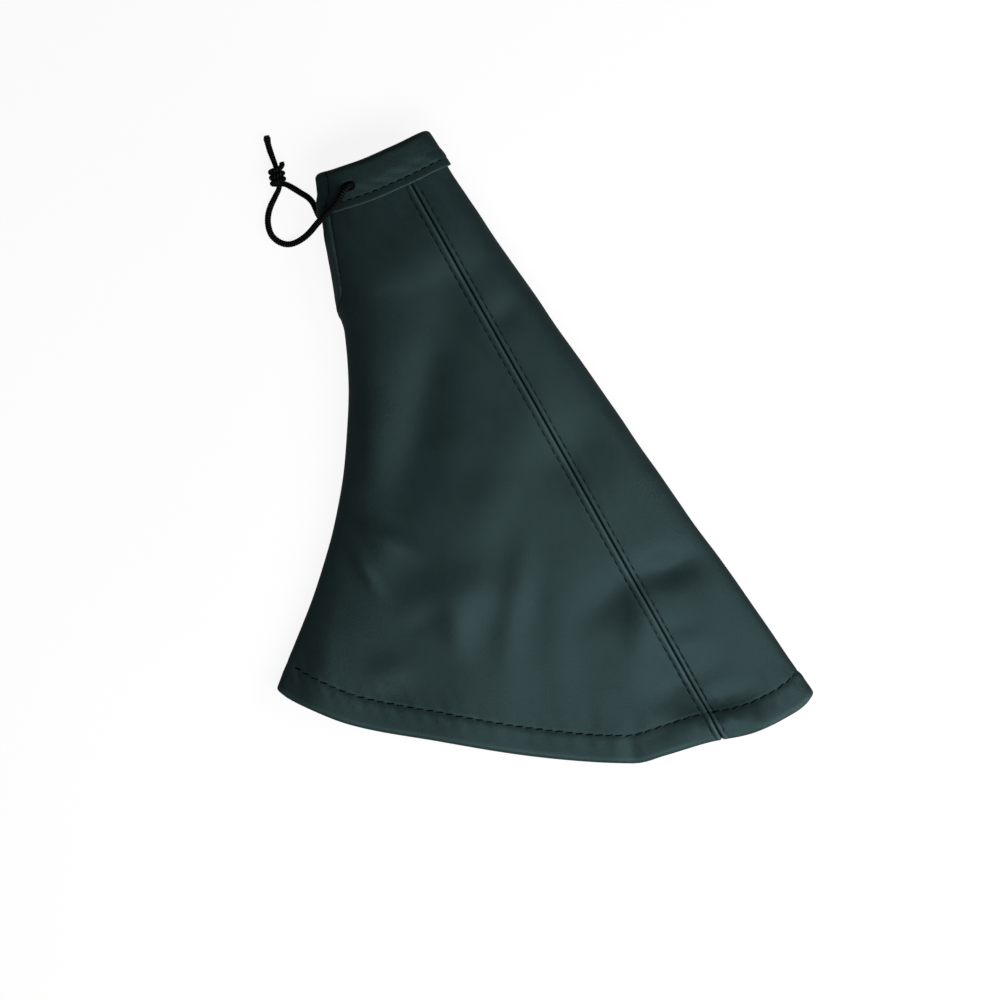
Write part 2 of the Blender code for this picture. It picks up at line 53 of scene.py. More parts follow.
MM = 0.001
SHEET = 1.1 * MM
EASE = 0.3 * MM
BASE_WIDTH = 214.8 * MM
BACK_LENGTH = 272.5 * MM
BACK_LEAN = math.radians(55.6)
COLLAR_WIDTH = 49.7 * MM
COLLAR_TILT = math.radians(21.5)
FRONT_HOLLOW = 20.4 * MM
FRONT_KINK = 2.2 * MM
FRONT_HEEL = 0.7 * MM
BACK_HOLLOW = 3.35 * MM
HEM_SHARE = (0.0, 0.02, 0.067, 0.134, 0.30, 0.469, 0.60, 0.668, 0.72, 0.80, 0.89, 0.945, 0.985, 1.0)
HEM_DROP = tuple(
    drop * MM for drop in (-1.2, 1.9, 6.9, 12.4, 19.1, 24.9, 27.5, 27.8, 24.8, 19.7, 15.6, 9.9, 4.1, 0.0)
)
COLLAR_FULLNESS = 14.0 * MM
BODY_FULLNESS = 21.8 * MM
BASE_FULLNESS = 17.5 * MM
BODY_ZONE = (8.0 * MM, 55.0 * MM)
BASE_ZONE = 120.0 * MM
COLLAR_ROUNDNESS = 0.88
BODY_ROUNDNESS = 0.68
ROUNDNESS_ZONE = (20.0 * MM, 65.0 * MM)
LIFT_RUN = 48.0 * MM
CALM_ZONE = (25.0 * MM, 60.0 * MM)
FOLD_RISE = 6.0 * MM
FOLD_RUN = 9.0 * MM
# Soft forms that handling has left in the upper wall, in plan: the middle, half the length, half the width,
# the heading in degrees and the height, hollows below nothing. Millimetres
SOFT_FORMS = (
    (-49.5, 12.0, 34.0, 11.0, 80, -2.1), (-71.0, 16.0, 30.0, 7.0, 86, 0.6),
    (50.2, -46.5, 15.0, 5.5, 15, -1.8), (54.0, -95.0, 15.0, 10.0, 30, -2.2),
    (70.0, -101.0, 13.0, 5.0, 12, -1.2), (72.0, -110.0, 12.0, 4.5, 12, 1.0),
    (25.4, -61.0, 12.0, 8.0, 45, -1.4), (-35.8, -72.4, 10.0, 6.5, 90, 1.0),
    (-13.0, -63.2, 22.0, 5.5, 82, 0.9), (4.6, -81.2, 20.0, 6.5, 95, 0.6),
    (37.4, -75.2, 12.0, 6.0, 100, 1.1), (-65.4, -36.4, 12.0, 4.8, -32, 1.0),
    (-71.4, -50.0, 10.0, 3.6, -52, -1.3), (-34.6, -59.0, 18.0, 11.0, 8, 1.5),
    (-17.4, 52.8, 8.0, 6.0, 45, -0.6), (12.0, 0.0, 20.0, 12.0, 55, -0.9),
    (-22.0, -22.0, 24.0, 12.0, 70, 0.8), (-62.0, -90.0, 9.0, 7.0, 10, 0.8),
)
# Marks too small for the CAD sleeve, told the same way: the drawn-down front corner, the crease behind it and
# dents at the hem. The third fills a dent of the CAD sleeve, and the fourth and fifth raise the crease there
SMALL_MARKS = (
    (-90.5, -78.0, 26.0, 6.0, 81, 1.2), (-104.0, -86.0, 24.0, 9.0, 81, -5.0),
    (-71.4, -50.0, 10.0, 3.6, -52, 1.9), (-73.2, -47.6, 11.0, 3.0, -60, 1.3),
    (-67.0, -44.0, 9.0, 7.0, -50, 0.8), (-49.5, -70.0, 7.0, 4.5, 20, -0.5),
    (88.0, -110.0, 8.0, 6.5, 20, 1.9), (51.0, -51.5, 14.0, 5.0, 14, -1.2),
    (54.0, -72.0, 10.0, 5.0, 15, -0.5), (27.0, -62.0, 12.0, 8.0, 45, 0.8),
    (34.5, -119.0, 8.0, 1.5, 88, -0.8), (28.5, -117.0, 7.0, 1.6, 92, 0.5),
    (17.0, -112.0, 7.0, 1.6, 95, -0.5), (46.0, -113.0, 6.0, 4.0, 20, -0.8),
    (-39.0, 66.0, 12.0, 7.0, 115, -0.7), (8.0, -8.0, 16.0, 10.0, 120, -0.8),
    (-82.0, 2.0, 7.0, 2.4, 0, -0.6), (-61.5, -98.0, 7.0, 3.2, -35, -0.6),
)
HANDLING = 1.45  # how much stronger than in the CAD sleeve the soft forms are
SEAM_AT_COLLAR = 16.6 * MM
SEAM_AT_BASE = 36.8 * MM
SEAM_ALLOWANCE = 6.0 * MM
CLOSING_SEAM_SHIFT = 8.0 * MM
CLOSING_TURN = (50.0 * MM, 78.0 * MM)
CLOSING_DRIFT = (90.0 * MM, 220.0 * MM)
FOLD_SPREAD = 0.9 * MM
HEM_DEPTH = 14.5 * MM
HEM_BEND = 0.95 * MM
BAND_HEIGHT = 16.2 * MM
BAND_STITCH = 13.0 * MM
BAND_EASE = 0.5 * MM
CASING_HALF = 2.4 * MM
PANEL_TUCK = 2.6 * MM
CORD = 2.6 * MM
STITCH = 4.0 * MM
SIDE_ROW = 2.9 * MM
CENTRE_ROW = 2.15 * MM
CLOSING_ROW = (5.8 * MM, 9.5 * MM)
HEM_ROW = 12.0 * MM
TURN_STEPS = 6
SIDE_COLOUR = (0.0160, 0.0298, 0.0309)
DARK_MOTTLE, LIGHT_MOTTLE = 0.80, 1.16
# Painted light: how many times lighter the painted highlight makes the leatherette's colour, and how dark the
# painted shade makes it
PAINTED_HIGHLIGHT_GAIN, PAINTED_SHADE_GAIN = 3.0, 0.06
MOTTLE_SCALE, DIMPLE_SCALE, PEBBLE_SCALE, PORE_SCALE = 46.0, 520.0, 1350.0, 2600.0
DIMPLE_SHARE, PORE_SHARE = 1.6, 0.35
GRAIN_DEPTH = 0.00010
TUCKED, SEWN, HEMMED = "tucked", "sewn", "hemmed"

LAYER = SHEET + EASE
ROLL = LAYER / 2
EDGE_IN = SHEET / 2 + ROLL - 0.03 * MM
STITCHED_HALF = SHEET + BAND_EASE
COLLAR_LIFT = CASING_HALF + CORD + 2 * EASE
BASE_DROP = max(HEM_DROP)
BASE_Y = -(BACK_LENGTH * math.sin(BACK_LEAN) - BASE_DROP) / 2
BACK_CORNER = np.array([BASE_WIDTH / 2, BASE_Y])
FRONT_CORNER = np.array([-BASE_WIDTH / 2, BASE_Y])
COLLAR_BACK = BACK_CORNER + BACK_LENGTH * np.array([-math.cos(BACK_LEAN), math.sin(BACK_LEAN)])
COLLAR_FRONT = COLLAR_BACK - COLLAR_WIDTH * np.array([math.cos(COLLAR_TILT), math.sin(COLLAR_TILT)])
END_ZONE = 30.0 * MM


def smooth_step(x, start, end):
    t = np.clip((x - start) / (end - start), 0.0, 1.0)
    return t * t * (3 - 2 * t)


def bump(x, middle, width):
    return np.exp(-(((x - middle) / width) ** 2))


def hem_drop(share):
    x, y = np.array(HEM_SHARE), np.array(HEM_DROP)
    slopes = np.diff(y) / np.diff(x)
    inner = np.where(slopes[:-1] * slopes[1:] > 0, (slopes[:-1] + slopes[1:]) / 2, 0.0)
    tangent = np.concatenate([[slopes[0]], inner, [slopes[-1]]])
    i = np.clip(np.searchsorted(x, share) - 1, 0, len(x) - 2)
    step = x[i + 1] - x[i]
    t = (share - x[i]) / step
    return (
        (1 + 2 * t) * (1 - t) ** 2 * y[i]
        + t * (1 - t) ** 2 * step * tangent[i]
        + t * t * (3 - 2 * t) * y[i + 1]
        + t * t * (t - 1) * step * tangent[i + 1]
    )


def plan(share, v):
    share = np.clip(np.asarray(share, float), 0.0, 1.0)[..., None]
    wave = 0.7 * MM * (1.6 * bump(share, 0.95, 0.16) + bump(share, 0.03, 0.08) - bump(share, 0.42, 0.20))
    top = COLLAR_FRONT + share * (COLLAR_BACK - COLLAR_FRONT) + wave * np.array([0.0, 1.0])
    base = FRONT_CORNER + share * (BACK_CORNER - FRONT_CORNER)
    base = base - hem_drop(share) * np.array([0.0, 1.0])
    length = np.linalg.norm(base - top, axis=-1, keepdims=True)
    early, late = END_ZONE / length, 1 - END_ZONE / length
    along = (v - END_ZONE) / (BACK_LENGTH - 2 * END_ZONE)
    t = np.where(
        v < END_ZONE,
        v / length,
        np.where(v > BACK_LENGTH - END_ZONE, 1 - (BACK_LENGTH - v) / length, early + (late - early) * along),
    )
    chord = COLLAR_FRONT - FRONT_CORNER
    inwards = np.array([chord[1], -chord[0]]) / np.linalg.norm(chord)
    kink = FRONT_KINK * smooth_step(t, 0.30, 0.24) * smooth_step(t, 0.0, 0.09)
    heel = FRONT_HEEL * smooth_step(t, 0.76, 0.97)
    hollow = FRONT_HOLLOW * np.sin(math.pi * np.clip(t, 0.0, 1.0)) - kink - heel
    spine = COLLAR_BACK - BACK_CORNER
    forwards = np.array([-spine[1], spine[0]]) / np.linalg.norm(spine)
    waist = BACK_HOLLOW * (0.3 + 0.7 * smooth_step(v, 5 * MM, 32 * MM))
    waist = waist * (1 - np.clip(v / BACK_LENGTH, 0.0, 1.0))
    return top + t * (base - top) + hollow * (1 - share) ** 1.3 * inwards + waist * share**1.5 * forwards


def lift(v):
    return COLLAR_LIFT * (1 - smooth_step(v, BAND_STITCH, BAND_STITCH + LIFT_RUN))


def fullness(v):
    to_body = smooth_step(v, *BODY_ZONE)
    to_base = smooth_step(v, BASE_ZONE, BACK_LENGTH)
    body = COLLAR_FULLNESS + (BODY_FULLNESS - COLLAR_FULLNESS) * to_body
    return body + (BASE_FULLNESS - BODY_FULLNESS) * to_base


def roundness(v):
    return COLLAR_ROUNDNESS + (BODY_ROUNDNESS - COLLAR_ROUNDNESS) * smooth_step(v, *ROUNDNESS_ZONE)


def ripple(share, v):
    t = v / BACK_LENGTH
    place = plan(share, v) / MM
    soft = 0.0
    forms = SOFT_FORMS + tuple((*mark[:5], mark[5] / HANDLING) for mark in SMALL_MARKS)
    for x, y, half_length, half_width, heading, height in forms:
        turn = math.radians(heading)
        ahead = (place[..., 0] - x) * math.cos(turn) + (place[..., 1] - y) * math.sin(turn)
        aside = (place[..., 1] - y) * math.cos(turn) - (place[..., 0] - x) * math.sin(turn)
        soft = soft + height * MM * bump(ahead, 0.0, half_length) * bump(aside, 0.0, half_width)
    hem_break = 1.2 * MM * bump(share, 0.67, 0.025) * smooth_step(t, 0.88, 1.0)
    hem_wave = 0.8 * MM * np.sin(19 * share + 0.8) * smooth_step(t, 0.8, 1.0)
    calm = np.clip(12 * share * (1 - share), 0, 1) * smooth_step(v, *CALM_ZONE)
    return calm * (HANDLING * soft - hem_break + hem_wave)


@lru_cache(maxsize=None)
def section(v):
    """The sleeve's middle surface at station v below the collar's top edge: points from the back fold over
    the top and back underneath, the arc length to each, and the number of the point on the front fold."""
    proud = STITCHED_HALF - 0.7 * MM
    drawn_in = proud + (CASING_HALF - proud) * (1 - smooth_step(v, 8 * MM, BAND_STITCH))
    inset = SHEET / 2 + drawn_in * (1 - smooth_step(v, BAND_HEIGHT, BAND_HEIGHT + 14 * MM))
    width = np.linalg.norm(plan(1.0, v) - plan(0.0, v))
    floor = SHEET / 2 + lift(v)
    rise = fullness(v)

    turn = np.linspace(0.0, math.pi, 301)
    across = (1 + np.cos(turn)) / 2
    upper_share = (inset + (width - 2 * inset) * across) / width
    upper = floor + FOLD_RISE + (rise - FOLD_RISE) * np.sin(turn) ** roundness(v) + ripple(upper_share, v)

    quarter = np.linspace(0.0, math.pi / 2, 31)[1:]
    run = FOLD_RUN * (1 - np.cos(quarter))
    drop = floor + FOLD_RISE * (1 - np.sin(quarter))
    middle = np.linspace(FOLD_RUN, width - 2 * inset - FOLD_RUN, 60)[1:-1]
    reach = np.concatenate([run, middle, (width - 2 * inset) - run[::-1], [width - 2 * inset]])
    lower = np.concatenate([drop, np.full(len(middle), floor), drop[::-1], [floor + FOLD_RISE]])
    share = np.concatenate([upper_share, (inset + reach) / width])
    points = np.column_stack([plan(share, v), np.concatenate([upper, lower])])
    arc = np.concatenate([[0.0], np.cumsum(np.linalg.norm(np.diff(points, axis=0), axis=1))])
    return points, arc, len(turn) - 1


def front_fold(v):
    _, arc, front = section(round(v, 9))
    return arc[front]


def girth(v):
    return section(round(v, 9))[1][-1]


@lru_cache(maxsize=None)
def seam_arcs(v):
    start = plan(1 - SEAM_AT_COLLAR / COLLAR_WIDTH, 0.0)
    end = plan(1 - SEAM_AT_BASE / BASE_WIDTH, BACK_LENGTH)
    along = (end - start) / np.linalg.norm(end - start)
    points, arc, front = section(round(v, 9))
    side = (points[:, 0] - start[0]) * along[1] - (points[:, 1] - start[1]) * along[0]
    above = np.interp(0.0, side[: front + 1], arc[: front + 1])
    below = np.interp(0.0, -side[front:], arc[front:])
    return above, below


@lru_cache(maxsize=None)
def closing_arc(v):
    shift = 0.75 * smooth_step(v, *CLOSING_TURN) + 0.25 * smooth_step(v, *CLOSING_DRIFT)
    return front_fold(v) + CLOSING_SEAM_SHIFT * float(shift)


def surface(a, v):
    points, arc, _ = section(round(v, 9))
    a = np.mod(a, arc[-1])
    return np.stack([np.interp(a, arc, points[:, k]) for k in range(3)], axis=-1)


def inwards(a, v):
    step = 0.3 * MM
    across = surface(a + step, v) - surface(a - step, v)
    down = surface(a, v + step) - surface(a, v - step)
    normal = np.cross(down, across)
    return normal / np.linalg.norm(normal, axis=-1, keepdims=True)


def on_sleeve(a, v, depth):
    """Points at arcs a and station v, moved into the sleeve by depth."""
    a = np.asarray(a, float)
    depth = np.broadcast_to(np.asarray(depth, float), a.shape)
    return surface(a, v) + depth[..., None] * inwards(a, v)


def needle(along, pitch):
    """1 at each needle hole and 0 midway between two."""
    return 0.5 + 0.5 * np.cos(2 * math.pi * along / pitch)


def closing_row(v):
    """Distance from the closing seam to its row on the wide panel: inside the fold while both lie on top."""
    start, end = CLOSING_ROW
    way_down = (v - BAND_HEIGHT) / (CLOSING_TURN[0] - BAND_HEIGHT)
    on_top = start + (end - start) * float(np.clip(way_down, 0.0, 1.0))
    turned = float(smooth_step(v, CLOSING_TURN[0] + 6 * MM, CLOSING_TURN[1] - 4 * MM))
    return on_top + (CENTRE_ROW - on_top) * turned


def seam_relief(distance, v):
    """Ridge beside a seam, valley at its row of stitches and the allowance that shows through. Distance is
    above nothing on the side whose row lies further out."""
    s = np.abs(distance)
    row = np.where(distance > 0, SIDE_ROW, CENTRE_ROW)
    valley = bump(s, row, 0.45 * MM) * (0.32 + 0.12 * needle(v, STITCH))
    ridge = 0.34 * bump(s, 0.42 * row, 0.26 * row)
    plateau = 0.22 * smooth_step(s, 8.5 * MM, 5.2 * MM) * smooth_step(s, 0.4 * MM, 1.2 * MM)
    return MM * (ridge + plateau - valley)


def painted_highlight(a, v):
    """Painted highlight, 0 to 1: lighter colour along the ridge beside each seam, at the hem's lower edge and
    on the closing seam's strip while it lies on top.
    """
    above, below = seam_arcs(round(v, 9))
    whole = girth(v)
    wrapped = np.mod(np.asarray(a, float) - (below - whole), whole) + (below - whole)
    highlight = 0.0
    for distance in (wrapped - above, below - whole - wrapped, below - wrapped):
        strength = np.where(distance > 0, 1.0, 0.5)
        highlight = highlight + strength * bump(np.abs(distance), 1.05 * MM, 0.36 * MM)
    highlight = highlight + 0.5 * bump(BACK_LENGTH - v, 1.3 * MM, 0.8 * MM)
    from_row = wrapped - closing_arc(round(v, 9)) + closing_row(v)
    on_top = smooth_step(v, CLOSING_TURN[1], CLOSING_TURN[0])
    strip = smooth_step(from_row, 0.3 * MM, 1.2 * MM) * smooth_step(from_row, 7 * MM, 4 * MM)
    highlight = highlight + 0.28 * on_top * strip
    return np.clip(highlight, 0.0, 1.0)


def soft_noise(points, scale, seed):
    shift = Vector((seed * 7.1, seed * 3.3, seed * 1.7))
    return np.array([noise.noise(Vector(point) * scale + shift) for point in points])


def relief(a, v):
    above, below = seam_arcs(round(v, 9))
    whole = girth(v)
    closing = closing_arc(round(v, 9))
    a = np.asarray(a, float)
    wrapped = np.mod(a - (below - whole), whole) + (below - whole)
    sewn = smooth_step(v, BAND_HEIGHT - 1 * MM, BAND_HEIGHT + 1.5 * MM)
    out = sewn * (seam_relief(wrapped - above, v) + seam_relief(below - whole - wrapped, v))
    out = out + sewn * seam_relief(below - wrapped, v)
    from_row = wrapped - closing + closing_row(v)
    out = out - MM * sewn * (0.55 + 0.12 * needle(v, STITCH)) * bump(from_row, 0.0, 0.6 * MM)
    out = out + MM * sewn * 0.30 * bump(from_row, 1.6 * MM, 1.0 * MM)

    from_edge = BACK_LENGTH - v
    row = bump(from_edge, HEM_ROW, 0.45 * MM)
    pucker = 0.30 * np.sin(2 * math.pi * wrapped / (7.5 * MM) + 2.2 * np.sin(wrapped / (31 * MM)))
    below_row = bump(from_edge, HEM_ROW - 3 * MM, 3.2 * MM)
    above_row = bump(from_edge, HEM_ROW + 3.5 * MM, 4 * MM)
    pucker = pucker * (below_row + 0.6 * above_row)
    hem = -0.22 * row - 0.10 * row * needle(wrapped, STITCH)
    hem = hem + 0.30 * smooth_step(from_edge, 12.0 * MM, 9.5 * MM) * smooth_step(from_edge, 0.0, 2.5 * MM)
    out = out + MM * (hem + pucker) * (1 - 0.8 * bump(wrapped, front_fold(v), 9 * MM))

    gather = bump(v, BAND_HEIGHT + 1 * MM, 13 * MM) * sewn
    out = out + 0.20 * MM * gather * np.sin(2 * math.pi * wrapped / (9.0 * MM) + 1.0)

    place = surface(a, v)
    slow = soft_noise(place, 1 / (38 * MM), 1)
    fine = soft_noise(place * np.array([1.0, 0.55, 1.0]), 1 / (13 * MM), 2)
    calm = smooth_step(v, 18 * MM, 45 * MM)
    out = out + calm * MM * (0.55 * slow + 0.26 * fine)
    resting = smooth_step(place[..., 2], 2.5 * MM, 0.9 * MM) * smooth_step(inwards(a, v)[..., 2], 0.3, 0.8)
    return out - resting * np.maximum(out, -0.1 * MM) - 0.1 * MM * resting


def new_material(name, roughness, colour):
    made = bpy.data.materials.new(name)
    made.use_nodes = True
    shader = made.node_tree.nodes["Principled BSDF"]
    shader.inputs["Base Color"].default_value = (*colour, 1.0)
    shader.inputs["Roughness"].default_value = roughness
    return made, made.node_tree.nodes, made.node_tree.links, shader


def add(nodes, kind, **values):
    node = nodes.new(kind)
    for key, value in values.items():
        if hasattr(node, key):
            setattr(node, key, value)
        else:
            node.inputs[key.replace("_", " ")].default_value = value
    return node


def leatherette(name, colour):
    """Satin leatherette: a fine pebbled grain, faint mottling, gloss that varies over the hide, and painted
    highlights and painted shade from a per-point attribute.
    """
    made, nodes, links, shader = new_material(name, 0.46, colour)
    place = add(nodes, "ShaderNodeTexCoord")

    mottle = add(nodes, "ShaderNodeTexNoise", Scale=MOTTLE_SCALE, Detail=4.0, Roughness=0.60)
    links.new(place.outputs["Object"], mottle.inputs["Vector"])
    tone = add(nodes, "ShaderNodeValToRGB")
    tone.color_ramp.elements[0].position = 0.32
    tone.color_ramp.elements[1].position = 0.70
    tone.color_ramp.elements[0].color = (*[c * DARK_MOTTLE for c in colour], 1.0)
    tone.color_ramp.elements[1].color = (*[c * LIGHT_MOTTLE for c in colour], 1.0)
    links.new(mottle.outputs["Fac"], tone.inputs["Fac"])
    # Painted highlight and painted shade: the per-point attribute lightens the colour where it is above
    # nothing and darkens it almost to black where it is below nothing
    painted_light = add(nodes, "ShaderNodeAttribute", attribute_name="painted_light")
    highlight = add(nodes, "ShaderNodeMix", data_type="RGBA")
    highlight.inputs["B"].default_value = (*[c * PAINTED_HIGHLIGHT_GAIN for c in colour], 1.0)
    links.new(painted_light.outputs["Fac"], highlight.inputs["Factor"])
    links.new(tone.outputs["Color"], highlight.inputs["A"])
    shade_factor = add(nodes, "ShaderNodeMapRange", From_Min=-0.8, From_Max=0.0, To_Min=1.0, To_Max=0.0)
    links.new(painted_light.outputs["Fac"], shade_factor.inputs["Value"])
    painted_shade = add(nodes, "ShaderNodeMix", data_type="RGBA")
    painted_shade.inputs["B"].default_value = (*[c * PAINTED_SHADE_GAIN for c in colour], 1.0)
    links.new(shade_factor.outputs["Result"], painted_shade.inputs["Factor"])
    links.new(highlight.outputs["Result"], painted_shade.inputs["A"])
    links.new(painted_shade.outputs["Result"], shader.inputs["Base Color"])

    gloss = add(nodes, "ShaderNodeMapRange", From_Min=0.3, From_Max=0.7, To_Min=0.42, To_Max=0.52)
    links.new(mottle.outputs["Fac"], gloss.inputs["Value"])
    links.new(gloss.outputs["Result"], shader.inputs["Roughness"])

    pebble = add(nodes, "ShaderNodeTexVoronoi", feature="DISTANCE_TO_EDGE", Scale=PEBBLE_SCALE)
    pebble.inputs["Randomness"].default_value = 0.9
    links.new(place.outputs["Object"], pebble.inputs["Vector"])
    round_off = add(nodes, "ShaderNodeMapRange", From_Min=0.0, From_Max=0.22, To_Min=0.0, To_Max=1.0)
    links.new(pebble.outputs["Distance"], round_off.inputs["Value"])
    pores = add(nodes, "ShaderNodeTexNoise", Scale=PORE_SCALE, Detail=2.0, Roughness=0.6)
    links.new(place.outputs["Object"], pores.inputs["Vector"])
    both = add(nodes, "ShaderNodeMath", operation="MULTIPLY_ADD")
    both.inputs[1].default_value = PORE_SHARE
    links.new(pores.outputs["Fac"], both.inputs[0])
    links.new(round_off.outputs["Result"], both.inputs[2])
    dimples = add(nodes, "ShaderNodeTexNoise", Scale=DIMPLE_SCALE, Detail=2.0, Roughness=0.55)
    links.new(place.outputs["Object"], dimples.inputs["Vector"])
    skin = add(nodes, "ShaderNodeMath", operation="MULTIPLY_ADD")
    skin.inputs[1].default_value = DIMPLE_SHARE
    links.new(dimples.outputs["Fac"], skin.inputs[0])
    links.new(both.outputs["Value"], skin.inputs[2])
    grain = add(nodes, "ShaderNodeBump", Strength=0.34, Distance=GRAIN_DEPTH)
    links.new(skin.outputs["Value"], grain.inputs["Height"])
    links.new(grain.outputs["Normal"], shader.inputs["Normal"])
    shader.inputs["Specular IOR Level"].default_value = 0.4
    shader.inputs["Specular Tint"].default_value = (0.58, 1.0, 1.02, 1.0)
    return made


def backing(name):
    """Knitted cloth on the back of the leatherette."""
    made, nodes, links, shader = new_material(name, 0.9, (0.012, 0.014, 0.015))
    place = add(nodes, "ShaderNodeTexCoord")
    wales = add(nodes, "ShaderNodeTexWave", wave_type="BANDS", Scale=330.0, Distortion=1.5)
    wales.bands_direction = "DIAGONAL"
    links.new(place.outputs["Object"], wales.inputs["Vector"])
    fuzz = add(nodes, "ShaderNodeTexNoise", Scale=1800.0, Detail=3.0)
    links.new(place.outputs["Object"], fuzz.inputs["Vector"])
    tone = add(nodes, "ShaderNodeValToRGB")
    tone.color_ramp.elements[0].color = (0.006, 0.007, 0.008, 1.0)
    tone.color_ramp.elements[1].color = (0.020, 0.023, 0.024, 1.0)
    links.new(fuzz.outputs["Fac"], tone.inputs["Fac"])
    links.new(tone.outputs["Color"], shader.inputs["Base Color"])
    weave = add(nodes, "ShaderNodeBump", Strength=0.6, Distance=0.00025)
    links.new(wales.outputs["Fac"], weave.inputs["Height"])
    links.new(weave.outputs["Normal"], shader.inputs["Normal"])
    shader.inputs["Sheen Weight"].default_value = 0.2
    return made


def link(obj):
    bpy.context.scene.collection.objects.link(obj)
    return obj


def mesh_object(name, vertices, faces, paint):
    data = bpy.data.meshes.new(name)
    data.from_pydata([tuple(map(float, v)) for v in vertices], [], faces)
    for one in paint:
        data.materials.append(one)
    data.shade_smooth()
    data.update()
    return link(bpy.data.objects.new(name, data))


def thicken(piece):
    modifier = piece.modifiers.new("thickness", "SOLIDIFY")
    modifier.thickness = SHEET
    modifier.offset = 0.0
    modifier.use_even_offset = True
    modifier.material_offset = 1
    modifier.material_offset_rim = 0


def sheet_mesh(name, points, keep, paint, painted_light):
    """A sheet from a grid of points and their painted light (a painted highlight above nothing, painted shade
    below it), with only the cells that keep names.
    """
    rows, columns = len(points), len(points[0])
    flat = np.asarray(points).reshape(-1, 3)
    faces = []
    for r in range(rows - 1):
        for c in range(columns - 1):
            if keep(r, c):
                i = r * columns + c
                faces.append((i, i + 1, i + columns + 1, i + columns))
    used = sorted({i for face in faces for i in face})
    number = {old: new for new, old in enumerate(used)}
    faces = [tuple(number[i] for i in face) for face in faces]
    piece = mesh_object(name, flat[used], faces, [paint, BACKING])
    attribute = piece.data.attributes.new("painted_light", "FLOAT", "POINT")
    attribute.data.foreach_set("value", np.asarray(painted_light).reshape(-1)[used].astype(np.float32))
    thicken(piece)
    return piece


def edge_columns(kind, seam, side, spread):
    flat = seam + side * EDGE_IN
    columns = []
    for k in range(1, TURN_STEPS + 1):
        angle = math.pi * k / TURN_STEPS
        if kind == TUCKED:
            columns.append((flat - side * (EDGE_IN - EASE / 2) * min(1.0, 2 * k / TURN_STEPS), 0.0))
        else:
            depth = ROLL * (1 - math.cos(angle))
            columns.append((flat - side * (ROLL * math.sin(angle) - spread * depth / LAYER), depth))
    columns.append((flat + side * (SEAM_ALLOWANCE - ROLL + spread), 2 * ROLL))
    return columns


def panel_rows():
    """Stations of the rows, each with how its edges are finished, its turn round the hem and its way back."""
    edge = BACK_LENGTH - SHEET / 2
    hem_top = edge - HEM_DEPTH
    rows = [(v, TUCKED, 0, 0) for v in np.linspace(BAND_STITCH - PANEL_TUCK, BAND_HEIGHT, 5)]
    first, last = BAND_HEIGHT + 0.8 * MM, hem_top - 2.5 * MM
    count = 185
    rows += [(first + (last - first) * k / count, SEWN, 0, 0) for k in range(count + 1)]
    near_hem = np.linspace(last, edge - HEM_BEND, 24)[1:-1]
    rows += [(v, HEMMED, 0, 0) for v in near_hem if v > hem_top]
    turns = 8
    rows += [(edge - HEM_BEND, HEMMED, math.pi * k / turns, 0) for k in range(turns + 1)]
    inside = np.linspace(2 * MM, HEM_DEPTH - HEM_BEND, 6)
    rows += [(edge - HEM_BEND, HEMMED, math.pi, back) for back in inside]
    return rows


def spread_arcs(stops, counts):
    values = [np.array([stops[0]])]
    for start, end, count in zip(stops, stops[1:], counts):
        values.append(np.linspace(start, end, count + 1)[1:])
    return np.concatenate(values)


def panel(name, edges, stops, counts, spreads, paint):
    """One cut piece between two seams, with its allowances and hem turned in."""

    def columns(v, kind):
        start, end = edges(round(v, 9))
        flat = spread_arcs([start + EDGE_IN, *stops(v), end - EDGE_IN], counts)
        first, last = edge_columns(kind, start, 1, spreads[0]), edge_columns(kind, end, -1, spreads[1])
        a = np.concatenate([[c[0] for c in first[::-1]], flat, [c[0] for c in last]])
        depth = np.concatenate([[c[1] for c in first[::-1]], np.zeros(len(flat)), [c[1] for c in last]])
        return a, depth

    rows = panel_rows()
    points, painted_light = [], []
    for v, kind, turn, back in rows:
        a, depth = columns(v, kind)
        # Painted shade: the edges rolled into each seam and the allowances behind them are darkened almost to
        # black, and the outer face takes the painted highlight
        painted_shade = smooth_step(depth, 0.05 * ROLL, 0.6 * ROLL)
        painted_light.append(painted_highlight(a, v) * (1 - painted_shade) - painted_shade)
        outside = smooth_step(depth, 1.2 * ROLL, 0.1 * ROLL)
        if not turn:
            points.append(on_sleeve(a, v, depth - outside * relief(a, v)))
            continue
        row = np.zeros((len(a), 3))
        for one in np.unique(depth):
            same = depth == one
            radius = HEM_BEND - one
            level = v + radius * math.sin(turn) - back
            moved = columns(level, kind)[0][same]
            fade = math.cos(turn / 2)
            inner = HEM_BEND - radius * math.cos(turn)
            row[same] = on_sleeve(moved, level, inner - fade * relief(moved, level))
        points.append(row)
    wide = len(points[0]) - 1
    lips = TURN_STEPS // 2 + 1

    def keep(r, c):
        sewn = rows[r][1] == SEWN and rows[r + 1][1] == SEWN
        return sewn or lips <= c < wide - lips

    return sheet_mesh(name, points, keep, paint, painted_light)


def left_edges(v):
    return seam_arcs(v)[0], closing_arc(v)


def left_stops(v):
    return [seam_arcs(round(v, 9))[0] + 9 * MM, front_fold(v) - 9 * MM]


SIDE_LEATHER = leatherette("leatherette_side", SIDE_COLOUR)
BACKING = backing("knitted_backing")
side_left = panel(
    "side_panel_left_skin", left_edges, left_stops, (22, 72, 20), (0.0, FOLD_SPREAD), SIDE_LEATHER
)
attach(side_left, "root")
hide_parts("side_panel_left")


# The right side panel, cut as the left one's mirror image from the same leatherette. It lies underneath, and
# the closing seam joins the two at the front fold.


def right_edges(v):
    return closing_arc(v), seam_arcs(v)[1]


def right_stops(v):
    return [front_fold(v) + 13 * MM, seam_arcs(round(v, 9))[1] - 9 * MM]


